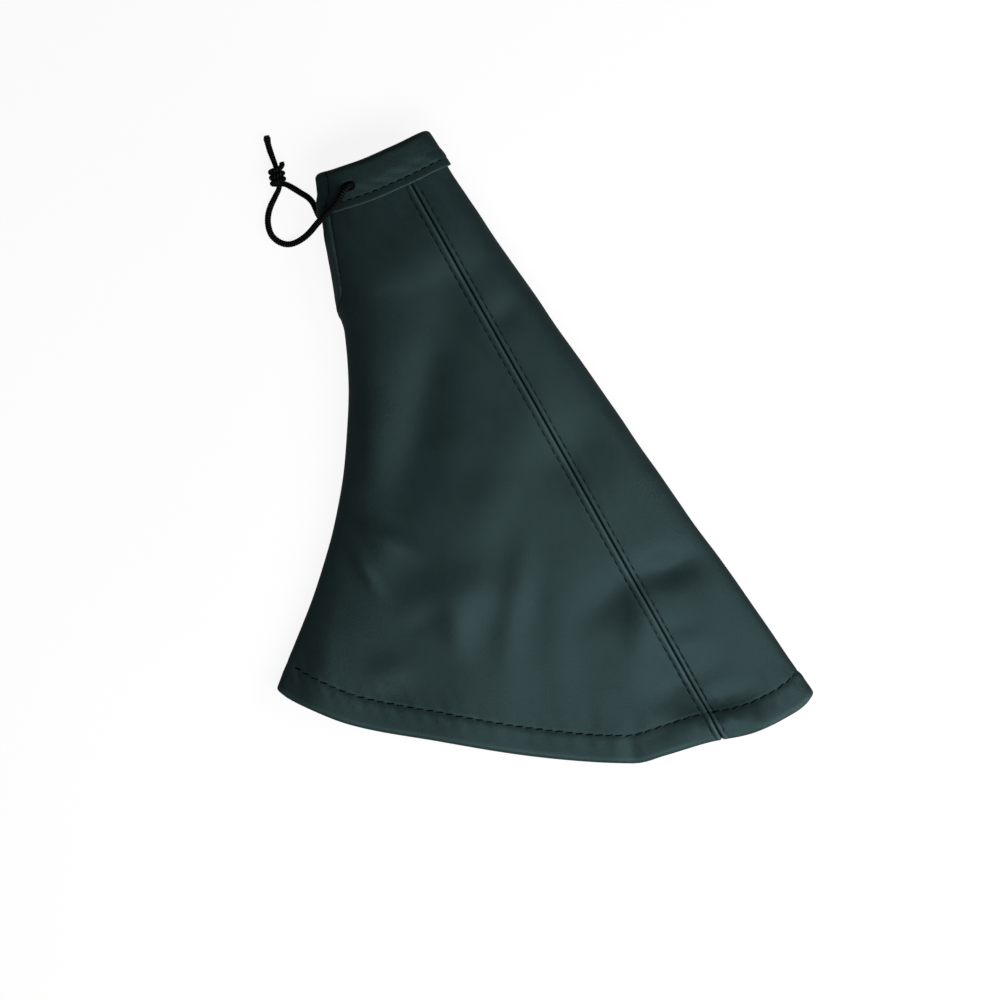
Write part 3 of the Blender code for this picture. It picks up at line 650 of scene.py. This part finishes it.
side_right = panel(
    "side_panel_right_skin", right_edges, right_stops, (20, 34, 22), (FOLD_SPREAD, 0.0), SIDE_LEATHER
)
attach(side_right, "root")
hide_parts("side_panel_right")


# The narrow centre panel between the side panels, tapering towards the collar. It is cut from the same
# leatherette, folds along the sleeve's straight back edge and is sewn to both side panels.

CENTRE_COLOUR = (0.0165, 0.0305, 0.0317)
CENTRE_LEATHER = leatherette("leatherette_centre_strip", CENTRE_COLOUR)


def centre_edges(v):
    above, below = seam_arcs(v)
    return below - girth(v), above


def centre_stops(v):
    start, end = centre_edges(round(v, 9))
    return [start + min(9 * MM, -0.45 * start), 0.0, end - min(9 * MM, 0.45 * end)]


centre = panel("centre_panel_skin", centre_edges, centre_stops, (20, 22, 22, 20), (0.0, 0.0), CENTRE_LEATHER)
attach(centre, "root")
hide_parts("centre_panel")


# The collar band: a strip of the leatherette, folded over the upper edge of the panels and stitched down as
# a casing for the cord. Its ends meet near the front, beside the two punched holes that let the cord out.

BAND_PITCH = 3.5 * MM
BAND_JOIN = 5.5 * MM
CASING_PINCH = 0.7 * MM
TOP_FOLD = 1.8 * MM
HOLE = 3.8 * MM
HOLE_BELOW_TOP = 8.6 * MM
HOLE_FROM_FRONT = 13.4 * MM
HOLE_LEAN = 6.4 * MM
BAND_COLOUR = (0.0158, 0.0294, 0.0305)
BAND_LEATHER = leatherette("leatherette_band_strip", BAND_COLOUR)


def band_half(v, from_join):
    round_top = math.sqrt(max(0.0, 1 - max(0.0, 1 - v / TOP_FOLD) ** 2))
    casing = CASING_HALF - CASING_PINCH * bump(from_join, 0.0, 3.0 * MM)
    closing = smooth_step(v, 7.0 * MM, 13.4 * MM)
    return (casing + (STITCHED_HALF - casing) * closing) * round_top


def band_relief(way, whole, v):
    """Puckers of the casing over its stitches, and the creases that the drawn cord leaves."""
    row = bump(v, BAND_STITCH, 0.5 * MM)
    valley = 0.15 * row + 0.08 * row * needle(way, BAND_PITCH)
    puckers = 0.06 * np.sin(2 * math.pi * way / (8.2 * MM) + 1.5 * np.sin(way / (19 * MM)))
    puckers = puckers * bump(v, 9.5 * MM, 4.5 * MM)
    join = 0.35 * bump(np.minimum(way, whole - way), 0.0, 0.9 * MM)
    crease = 0.28 * bump(way, BAND_JOIN + 27 * MM, 2.2 * MM) * bump(v, 3 * MM, 4 * MM)
    lip = 0.10 * smooth_step(v, 14.2 * MM, 15.6 * MM)
    return MM * (puckers + lip - valley - crease - join)


def band_stations():
    outside = np.concatenate([np.linspace(BAND_HEIGHT, 9.6 * MM, 15), np.linspace(9.0 * MM, TOP_FOLD, 11)])
    fold = [TOP_FOLD * share for share in (0.78, 0.58, 0.40, 0.24, 0.11, 0.03)]
    down = list(outside) + fold
    inside = fold[::-1] + [v for v in outside[::-1] if v < BAND_HEIGHT - 1.3 * MM] + [BAND_HEIGHT - 1.2 * MM]
    return [(v, -1) for v in down] + [(0.0, 0)] + [(v, 1) for v in inside]


def collar_band():
    columns = 210
    points, painted_light = [], []
    for v, layer in band_stations():
        level = v + SHEET / 2
        start, whole = front_fold(level) - BAND_JOIN, girth(level)
        way = EASE / 2 + (whole - EASE) * np.arange(columns + 1) / columns
        half = band_half(v, np.minimum(way, whole - way))
        relieved = half + (band_relief(way, whole, v) if layer < 0 else 0.0)
        points.append(on_sleeve(start + way, level, layer * relieved))
        # Painted highlight along the band's lower edge, and painted shade, nearly black, at the join of its
        # two ends
        painted_shade = bump(np.minimum(way, whole - way), 0.0, 0.7 * MM)
        painted_light.append(0.7 * bump(v, BAND_HEIGHT, 0.5 * MM) * (1 - painted_shade) - painted_shade)
    return sheet_mesh("collar_band_skin", points[::-1], lambda r, c: True, BAND_LEATHER, painted_light[::-1])


def hole_axis(above):
    way = HOLE_FROM_FRONT if above else -HOLE_FROM_FRONT
    middle = front_fold(HOLE_BELOW_TOP) - way
    ahead = (1 if above else -1) * HOLE_LEAN / 2
    drop = HOLE_LEAN / 8
    inner = on_sleeve(np.array([middle - ahead]), HOLE_BELOW_TOP - drop, 0.0)[0]
    outer = on_sleeve(np.array([middle + ahead]), HOLE_BELOW_TOP + drop, -2 * CASING_HALF - EASE)[0]
    return Vector(inner), Vector(outer)


def punch(piece, inner, outer):
    """Opens a round hole in the outer wall of the casing, its rim drawn to a true circle."""
    axis = (outer - inner).normalized()
    reach = (outer - inner).length
    form = bmesh.new()
    form.from_mesh(piece.data)

    def across(point):
        return (point - inner) - axis * (point - inner).dot(axis)

    def inside(face):
        centre_point = face.calc_center_median()
        along = (centre_point - inner).dot(axis)
        return 0 < along < reach and across(centre_point).length < HOLE / 2

    gone = [face for face in form.faces if inside(face)]
    rim = {v for face in gone for v in face.verts}
    bmesh.ops.delete(form, geom=gone, context="FACES")
    for v in rim:
        if v.is_valid and v.link_faces:
            away = across(v.co)
            v.co += away.normalized() * (HOLE / 2 - away.length)
    form.to_mesh(piece.data)
    form.free()


band = collar_band()
for above in (True, False):
    punch(band, *hole_axis(above))
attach(band, "root")
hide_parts("collar_band")


# The sewing thread: black twisted polyester, in short stitches that dip into the leatherette at each needle
# hole. A row runs along either side of every seam, one row holds the hem and one closes the casing.

THREAD_RADIUS = 0.29 * MM
THREAD_COLOUR = (0.0010, 0.0016, 0.0017)
HEM_STATION = BACK_LENGTH - HEM_ROW


def thread_material(name, colour):
    """Twisted polyester thread."""
    made, nodes, links, shader = new_material(name, 0.8, colour)
    place = add(nodes, "ShaderNodeTexCoord")
    twist = add(nodes, "ShaderNodeTexNoise", Scale=5200.0, Detail=1.0)
    links.new(place.outputs["Object"], twist.inputs["Vector"])
    ply = add(nodes, "ShaderNodeBump", Strength=0.5, Distance=0.00008)
    links.new(twist.outputs["Fac"], ply.inputs["Height"])
    links.new(ply.outputs["Normal"], shader.inputs["Normal"])
    shader.inputs["Specular IOR Level"].default_value = 0.06
    return made


THREAD = thread_material("black_thread", THREAD_COLOUR)


def stitches(name, ends, lift_off):
    """Short lengths of thread from needle hole to needle hole; ends holds (start, end, outwards) of each."""
    vertices, faces = [], []
    rings, sides = 9, 8
    for start, end, outwards in ends:
        start, end, outwards = Vector(start), Vector(end), Vector(outwards).normalized()
        along = (end - start).normalized()
        across = along.cross(outwards).normalized()
        base = len(vertices)
        for k in range(rings):
            t = k / (rings - 1)
            rise = lift_off * math.sin(math.pi * t) ** 0.6 - 0.42 * MM * (1 - math.sin(math.pi * t) ** 0.35)
            centre_point = start.lerp(end, t) + outwards * rise
            for s in range(sides):
                angle = 2 * math.pi * s / sides
                offset = across * math.cos(angle) + outwards * math.sin(angle)
                vertices.append(centre_point + offset * THREAD_RADIUS)
        for k in range(rings - 1):
            for s in range(sides):
                i, j = base + k * sides + s, base + k * sides + (s + 1) % sides
                faces.append((i, j, j + sides, i + sides))
        faces.append(tuple(base + s for s in range(sides))[::-1])
        faces.append(tuple(base + (rings - 1) * sides + s for s in range(sides)))
    piece = mesh_object(name, vertices, faces, [THREAD])
    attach(piece, "root")


def top_of(a, v):
    """Point on the leatherette's outer face and its outward direction."""
    a = np.array([a])
    point = on_sleeve(a, v, -SHEET / 2 - relief(a, v))[0]
    return point, -inwards(a, v)[0]


def down_row(name, arc_at, first, last, pitch=STITCH, cover=0.84):
    """A row that runs down the sleeve, its stitches between the needle holes of the relief."""
    ends = []
    k = math.ceil(first / pitch)
    while (k + 1) * pitch < last:
        top, bottom = (k + (1 - cover) / 2) * pitch, (k + 1 - (1 - cover) / 2) * pitch
        slant = 0.16 * MM * noise.noise(Vector((k * 0.83, pitch * 900, first * 700)))
        p, n = top_of(arc_at(top) + slant, top)
        q, m = top_of(arc_at(bottom) - slant, bottom)
        ends.append((p, q, n + m))
        k += 1
    stitches(name, ends, 0.02 * MM)


def beside(edge_at, offset):
    return lambda v: edge_at(round(v, 9)) + offset


def above_seam(v):
    return seam_arcs(v)[0]


def below_seam(v):
    return seam_arcs(v)[1]


def closing_left(v):
    return closing_arc(round(v, 9)) - closing_row(v)


row_first, row_last = BAND_HEIGHT + 0.4 * MM, BACK_LENGTH - 1.5 * MM
for name, arc_at, slot in (
    ("stitches_long_seam_left", beside(above_seam, SIDE_ROW), "leatherette_left"),
    ("stitches_long_seam_centre", beside(above_seam, -CENTRE_ROW), "leatherette_centre"),
    ("stitches_under_seam_right", beside(below_seam, -SIDE_ROW), "leatherette_right"),
    ("stitches_under_seam_centre", beside(below_seam, CENTRE_ROW), "leatherette_centre"),
    ("stitches_closing_left", closing_left, "leatherette_left"),
    ("stitches_closing_right", beside(closing_arc, SIDE_ROW), "leatherette_right"),
):
    down_row(name, arc_at, row_first, row_last)


def hem_row():
    """Round the whole base, its stitches slanting a little as a lockstitch in thick cloth does."""
    whole = girth(HEM_STATION)
    start = seam_arcs(round(HEM_STATION, 9))[1] - whole
    count = int(whole / STITCH)
    pitch = whole / count
    ends = []
    for k in range(count):
        a, b = start + (k + 0.02) * pitch, start + (k + 0.98) * pitch
        drift = 0.25 * MM * noise.noise(Vector((k * 0.31, 4.7, 1.3)))
        p, n = top_of(a, HEM_STATION - 0.30 * MM + drift)
        q, m = top_of(b, HEM_STATION + 0.30 * MM + drift)
        ends.append((p, q, n + m))
    stitches("stitches_hem", ends, 0.04 * MM)


hem_row()


def casing_row():
    level = BAND_STITCH + SHEET / 2
    start, whole = front_fold(level) - BAND_JOIN, girth(level)
    ends = []
    k = 0
    while (k + 1) * BAND_PITCH < whole - 1 * MM:
        pair = []
        for share in (0.14, 0.86):
            way = np.array([(k + share) * BAND_PITCH])
            half = band_half(BAND_STITCH, np.minimum(way, whole - way)) + band_relief(way, whole, BAND_STITCH)
            point = on_sleeve(start + way, level, -half - SHEET / 2)[0]
            pair.append((point, -inwards(start + way, level)[0]))
        ends.append((pair[0][0], pair[1][0], pair[0][1] + pair[1][1]))
        k += 1
    stitches("stitches_casing", ends, 0.02 * MM)


casing_row()


# The drawcord: elastic in a braided black cover, 2.6 mm thick. It runs round the collar inside the casing,
# comes out of both holes, and a knot of coiled turns ties its two strands into a loop with a short tail.
# The route is the one that part.py gives it, in millimetres.

STRAND_FROM_KNOT = (
    (-104.7, 105.4, 1.2), (-101.7, 103.9, 1.4), (-98.3, 101.8, 1.4), (-95.6, 100.1, 1.4), (-93.6, 97.9, 1.4),
    (-92.3, 95.2, 1.4), (-91.2, 92.8, 1.4), (-89.4, 91.3, 1.4), (-87.4, 91.9, 1.4), (-86.1, 94.4, 1.4),
    (-85.4, 97.8, 1.35), (-83.2, 101.7, 1.45),
)
STRAND_IN_CASING = (
    (-79.9, 103.4, 3.1), (-74.8, 105.9, 6.1), (-58.2, 113.1, 6.1), (-51.9, 116.0, 6.2), (-48.3, 118.0, 7.8),
    (-46.5, 118.8, 9.8), (-45.9, 119.1, 12.1), (-46.6, 118.7, 14.6), (-50.0, 117.1, 17.3),
    (-56.7, 113.8, 19.3), (-71.4, 107.6, 19.9), (-75.8, 105.6, 19.6),
)
STRAND_TO_KNOT = (
    (-79.4, 103.8, 22.0), (-81.4, 101.3, 23.5), (-82.9, 98.5, 22.7), (-85.1, 95.6, 21.6), (-87.1, 93.7, 20.7),
    (-89.8, 91.1, 18.5), (-92.0, 88.9, 14.1), (-94.4, 86.3, 8.0), (-97.3, 83.8, 3.7), (-100.7, 81.9, 1.7),
    (-104.0, 81.3, 1.4), (-107.4, 82.4, 1.4), (-110.1, 84.9, 1.4), (-111.4, 88.4, 1.4), (-111.6, 92.3, 1.4),
    (-110.6, 96.4, 1.4), (-108.6, 100.6, 1.8),
)
TAIL = (
    (-109.7, 115.8, 2.9), (-110.8, 118.8, 1.8), (-111.6, 121.6, 1.5),
    (-112.0, 123.7, 1.65), (-112.2, 124.9, 1.6),
)
KNOT_FOOT = (-107.1, 103.9)
KNOT_HEAD = (-108.6, 112.8)
STUB = ((2.6, 0.3, 9.9), (2.7, 0.5, 8.8))
KNOT_SQUEEZE = 0.84
KNOT_PITCH = 2.3 * MM
KNOT_TURNS = 2.6
KNOT_STEP = math.radians(36)
FUSED_END = 1.2
BRAID = 0.95 * MM
CARRIERS = 8


def elastic_material(name):
    """Braided cover of an elastic cord: near black yarn, with a painted highlight on the crowns of the braid
    and painted shade, nearly black, between them.
    """
    made, nodes, links, shader = new_material(name, 0.7, (0.003, 0.004, 0.004))
    # Painted highlight and painted shade: the crown attribute lightens the colour on the braid's crowns and
    # leaves it nearly black in its hollows
    crown = add(nodes, "ShaderNodeAttribute", attribute_name="crown")
    tone = add(nodes, "ShaderNodeValToRGB")
    tone.color_ramp.elements[0].color = (0.0002, 0.0003, 0.0003, 1.0)
    tone.color_ramp.elements[0].position = 0.58
    tone.color_ramp.elements[1].color = (0.0360, 0.0450, 0.0460, 1.0)
    links.new(crown.outputs["Fac"], tone.inputs["Fac"])
    links.new(tone.outputs["Color"], shader.inputs["Base Color"])
    place = add(nodes, "ShaderNodeTexCoord")
    yarn = add(nodes, "ShaderNodeTexNoise", Scale=6000.0, Detail=2.0)
    links.new(place.outputs["Object"], yarn.inputs["Vector"])
    fuzz = add(nodes, "ShaderNodeBump", Strength=0.4, Distance=0.00005)
    links.new(yarn.outputs["Fac"], fuzz.inputs["Height"])
    links.new(fuzz.outputs["Normal"], shader.inputs["Normal"])
    shader.inputs["Specular IOR Level"].default_value = 0.05
    shader.inputs["Sheen Weight"].default_value = 0.0
    return made


ELASTIC = elastic_material("braided_elastic_cover")


def metres(points):
    return [Vector(point) * MM for point in points]


def knot_strands():
    narrow = CORD * KNOT_SQUEEZE
    radius = narrow + 0.17 * MM
    height = radius + narrow / 2 + 0.05 * MM
    foot, head = (Vector((x * MM, y * MM, height)) for x, y in (KNOT_FOOT, KNOT_HEAD))
    along = (head - foot).normalized()
    side, over = Vector((along.y, -along.x, 0.0)), Vector((0.0, 0.0, 1.0))

    def at(sideways, above, forward):
        return foot + side * sideways + over * above + along * forward

    turns = [at(*(Vector(point) * MM)) for point in STUB]
    steps = round(KNOT_TURNS * 2 * math.pi / KNOT_STEP)
    for k in range(steps + 1):
        left = steps - k
        angle = -math.pi / 2 - left * KNOT_STEP
        forward = 1.5 * MM + left * KNOT_PITCH * KNOT_STEP / (2 * math.pi)
        turns.append(at(radius * math.cos(angle), radius * math.sin(angle), forward))
    core = [at(0.0, 0.1 * MM, forward) for forward in (0.0, 2.5 * MM, 6.0 * MM, (head - foot).length)]
    return turns, core


def smooth_route(points, thickness, step):
    knots = [0.0]
    for p, q in zip(points, points[1:]):
        knots.append(knots[-1] + (q - p).length)
    last = len(points) - 1
    tangents = []
    for i in range(len(points)):
        before, after = max(i - 1, 0), min(i + 1, last)
        tangents.append((points[after] - points[before]) / (knots[after] - knots[before]))
    route = [(points[0], thickness[0])]
    for i in range(last):
        span = knots[i + 1] - knots[i]
        steps = max(1, round(span / step))
        for k in range(1, steps + 1):
            t = k / steps
            point = (
                points[i] * ((1 + 2 * t) * (1 - t) ** 2)
                + tangents[i] * (span * t * (1 - t) ** 2)
                + points[i + 1] * (t * t * (3 - 2 * t))
                + tangents[i + 1] * (span * t * t * (t - 1))
            )
            route.append((point, thickness[i] + (thickness[i + 1] - thickness[i]) * t))
    return route


def braid_height(angle, way):
    """Height of the braid's yarns, 0 to 1: two sets of helices, each over two and under two of the other."""
    turn = CARRIERS * angle / (2 * math.pi)
    one, two = turn + way / BRAID, turn - way / BRAID
    over = math.sin(math.pi * one / 2) * math.sin(math.pi * two / 2) > 0
    across = (one if over else two) % 1.0
    yarn = 1 - (2 * abs(across - 0.5)) ** 2.2
    rib = 0.5 + 0.5 * math.cos(2 * math.pi * way / BRAID + angle)
    return (0.3 + 0.7 * rib) * (0.6 + 0.4 * yarn)


def drawcord():
    turns, core = knot_strands()
    free = metres(STRAND_FROM_KNOT + STRAND_IN_CASING + STRAND_TO_KNOT)
    tail = metres(TAIL)
    points = turns + free + core + tail
    thickness = [KNOT_SQUEEZE] * len(turns) + [0.9] + [1.0] * (len(free) - 2) + [0.92]
    thickness += [KNOT_SQUEEZE] * len(core) + [0.92, 1.0, 1.0, FUSED_END, 0.8]
    route = smooth_route(points, thickness, 0.17 * MM)
    sides = 40
    vertices, crowns, faces = [], [], []
    way = 0.0
    side = None
    for i, (place, thick) in enumerate(route):
        before, after = route[max(i - 1, 0)][0], route[min(i + 1, len(route) - 1)][0]
        along = (after - before).normalized()
        side = Vector((0.0, 0.0, 1.0)).cross(along) if side is None else side - along * side.dot(along)
        side = side.normalized()
        up = along.cross(side)
        if i:
            way += (place - route[i - 1][0]).length
        for s in range(sides):
            angle = 2 * math.pi * s / sides
            crown = braid_height(angle, way)
            radius = CORD / 2 * thick * (0.86 + 0.16 * crown)
            vertices.append(place + (side * math.cos(angle) + up * math.sin(angle)) * radius)
            crowns.append(crown)
        if i:
            for s in range(sides):
                a, b = (i - 1) * sides + s, (i - 1) * sides + (s + 1) % sides
                faces.append((a, b, b + sides, a + sides))
    faces.append(tuple(range(sides))[::-1])
    faces.append(tuple((len(route) - 1) * sides + s for s in range(sides)))
    piece = mesh_object("drawcord_braid", vertices, faces, [ELASTIC])
    attribute = piece.data.attributes.new("crown", "FLOAT", "POINT")
    attribute.data.foreach_set("value", crowns)
    return piece, [tuple(place) for place, _ in route], way


cord, cord_path, cord_length = drawcord()
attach(cord, "root")
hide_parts("drawcord")


# The stage: a sheet of white paper, two softboxes, a low strip light and a camera straight above the part.
# The paper's glow makes it white to the eye and lights nothing, and its dull face takes the shadow.

PIXEL = 0.40 * MM
PICTURE_SIZE = 1000
PICTURE_X, PICTURE_Y = 546.5, 447.0
PAPER_GLOW = 0.90
PAPER_FACE = 0.19
PAPER_IN_SHEEN = 0.10
PAPER_HALF, PAPER_LEVEL = 3.0, -0.2 * MM
SKY = (0.015, 0.015, 0.015, 1.0)


def from_pixel(x, y):
    return (x - PICTURE_X) * PIXEL, (PICTURE_Y - y) * PIXEL


def shows_background(nodes, links):
    """1 for a ray from the camera or through a clear piece, and PAPER_IN_SHEEN for a glossy reflection."""
    ray = nodes.new("ShaderNodeLightPath")
    sheen = add(nodes, "ShaderNodeMath", operation="MULTIPLY")
    sheen.inputs[1].default_value = PAPER_IN_SHEEN
    links.new(ray.outputs["Is Glossy Ray"], sheen.inputs[0])
    seen = ray.outputs["Is Camera Ray"]
    for other in (sheen.outputs["Value"], ray.outputs["Is Transmission Ray"]):
        either = add(nodes, "ShaderNodeMath", operation="MAXIMUM")
        links.new(seen, either.inputs[0])
        links.new(other, either.inputs[1])
        seen = either.outputs["Value"]
    return seen


def sweep_material():
    """White paper: its glow is white to the eye and lights nothing, and its dull face takes the shadow."""
    made = bpy.data.materials.new("white_sweep")
    made.use_nodes = True
    nodes, links = made.node_tree.nodes, made.node_tree.links
    nodes.clear()
    out = nodes.new("ShaderNodeOutputMaterial")
    both = nodes.new("ShaderNodeAddShader")
    glow = add(nodes, "ShaderNodeEmission", Color=(1.0, 1.0, 1.0, 1.0))
    level = add(nodes, "ShaderNodeMath", operation="MULTIPLY")
    level.inputs[1].default_value = PAPER_GLOW
    links.new(shows_background(nodes, links), level.inputs[0])
    links.new(level.outputs["Value"], glow.inputs["Strength"])
    face = add(nodes, "ShaderNodeBsdfDiffuse", Color=(PAPER_FACE, PAPER_FACE, PAPER_FACE, 1.0))
    links.new(glow.outputs["Emission"], both.inputs[0])
    links.new(face.outputs["BSDF"], both.inputs[1])
    links.new(both.outputs["Shader"], out.inputs["Surface"])
    return made


floor = mesh_object(
    "floor",
    [(x * PAPER_HALF, y * PAPER_HALF, PAPER_LEVEL) for x, y in ((-1, -1), (1, -1), (1, 1), (-1, 1))],
    [(0, 1, 2, 3)],
    [sweep_material()],
)

world = bpy.data.worlds.new("studio")
world.use_nodes = True
bpy.context.scene.world = world
nodes, links = world.node_tree.nodes, world.node_tree.links
background = nodes["Background"]
tone = nodes.new("ShaderNodeMix")
tone.data_type = "RGBA"
tone.inputs["A"].default_value = SKY
tone.inputs["B"].default_value = (1.0, 1.0, 1.0, 1.0)
links.new(shows_background(nodes, links), tone.inputs["Factor"])
links.new(tone.outputs["Result"], background.inputs["Color"])


def area_light(name, place, target, size, power):
    data = bpy.data.lights.new(name, "AREA")
    data.shape = "RECTANGLE"
    data.size, data.size_y = size
    data.energy = power
    lamp = link(bpy.data.objects.new(name, data))
    lamp.location = place
    lamp.rotation_euler = (Vector(target) - Vector(place)).to_track_quat("-Z", "Y").to_euler()


area_light("softbox_below", (0.08, -0.295, 0.53), (0.02, -0.02, 0.0), (0.5, 0.3), 1.68)
area_light("softbox_right", (0.444, -0.02, 0.424), (0.02, -0.02, 0.0), (0.4, 0.3), 1.32)
area_light("strip_low_right", (0.56, -0.36, 0.11), (0.03, -0.05, 0.0), (0.5, 0.08), 1.2)

camera_data = bpy.data.cameras.new("camera")
camera = link(bpy.data.objects.new("camera", camera_data))
DISTANCE = 4.0
TRUE_HEIGHT = 10 * MM
SENSOR = 36.0
middle_x, middle_y = from_pixel(PICTURE_SIZE / 2, PICTURE_SIZE / 2)
camera.location = (middle_x, middle_y, DISTANCE)
camera_data.sensor_width = SENSOR
camera_data.lens = SENSOR * (DISTANCE - TRUE_HEIGHT) / (PICTURE_SIZE * PIXEL)
camera_data.clip_start = 0.05
camera_data.clip_end = 20.0
bpy.context.scene.camera = camera
bpy.context.scene.view_settings.view_transform = "Standard"
